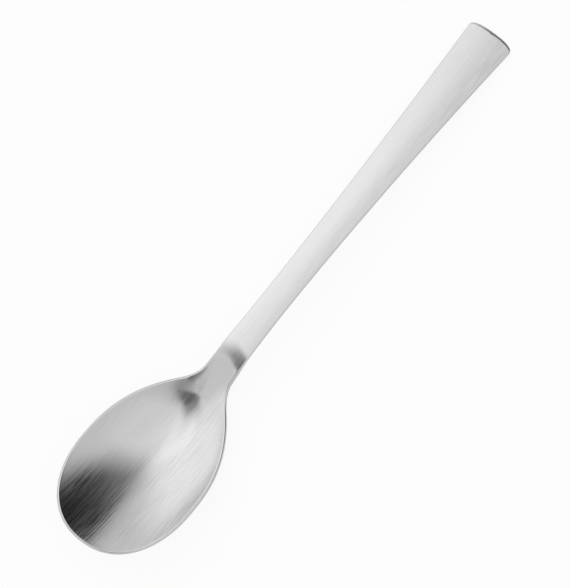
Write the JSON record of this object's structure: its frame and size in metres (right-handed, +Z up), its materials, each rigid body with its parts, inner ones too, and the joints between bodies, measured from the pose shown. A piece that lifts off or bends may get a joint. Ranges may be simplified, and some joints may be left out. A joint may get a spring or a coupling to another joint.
{
  "type": "dessert spoon",
  "caption": "Dessert spoon with an egg-shaped bowl, a narrow raised neck and a slim handle that widens to a blunt end, in brushed stainless steel.",
  "frame": {"origin": "on the table under the spoon, halfway along its length and on its centre line", "axes": "+X from the tip of the bowl to the end of the handle, +Z up out of the bowl, +Y across the spoon"},
  "size_m": [0.185, 0.0368, 0.0145],
  "materials": {
    "brushed_steel": "satin, brushed along the length"
  },
  "bodies": {
    "root": {"spoon": "brushed_steel"}
  },
  "joints": []
}
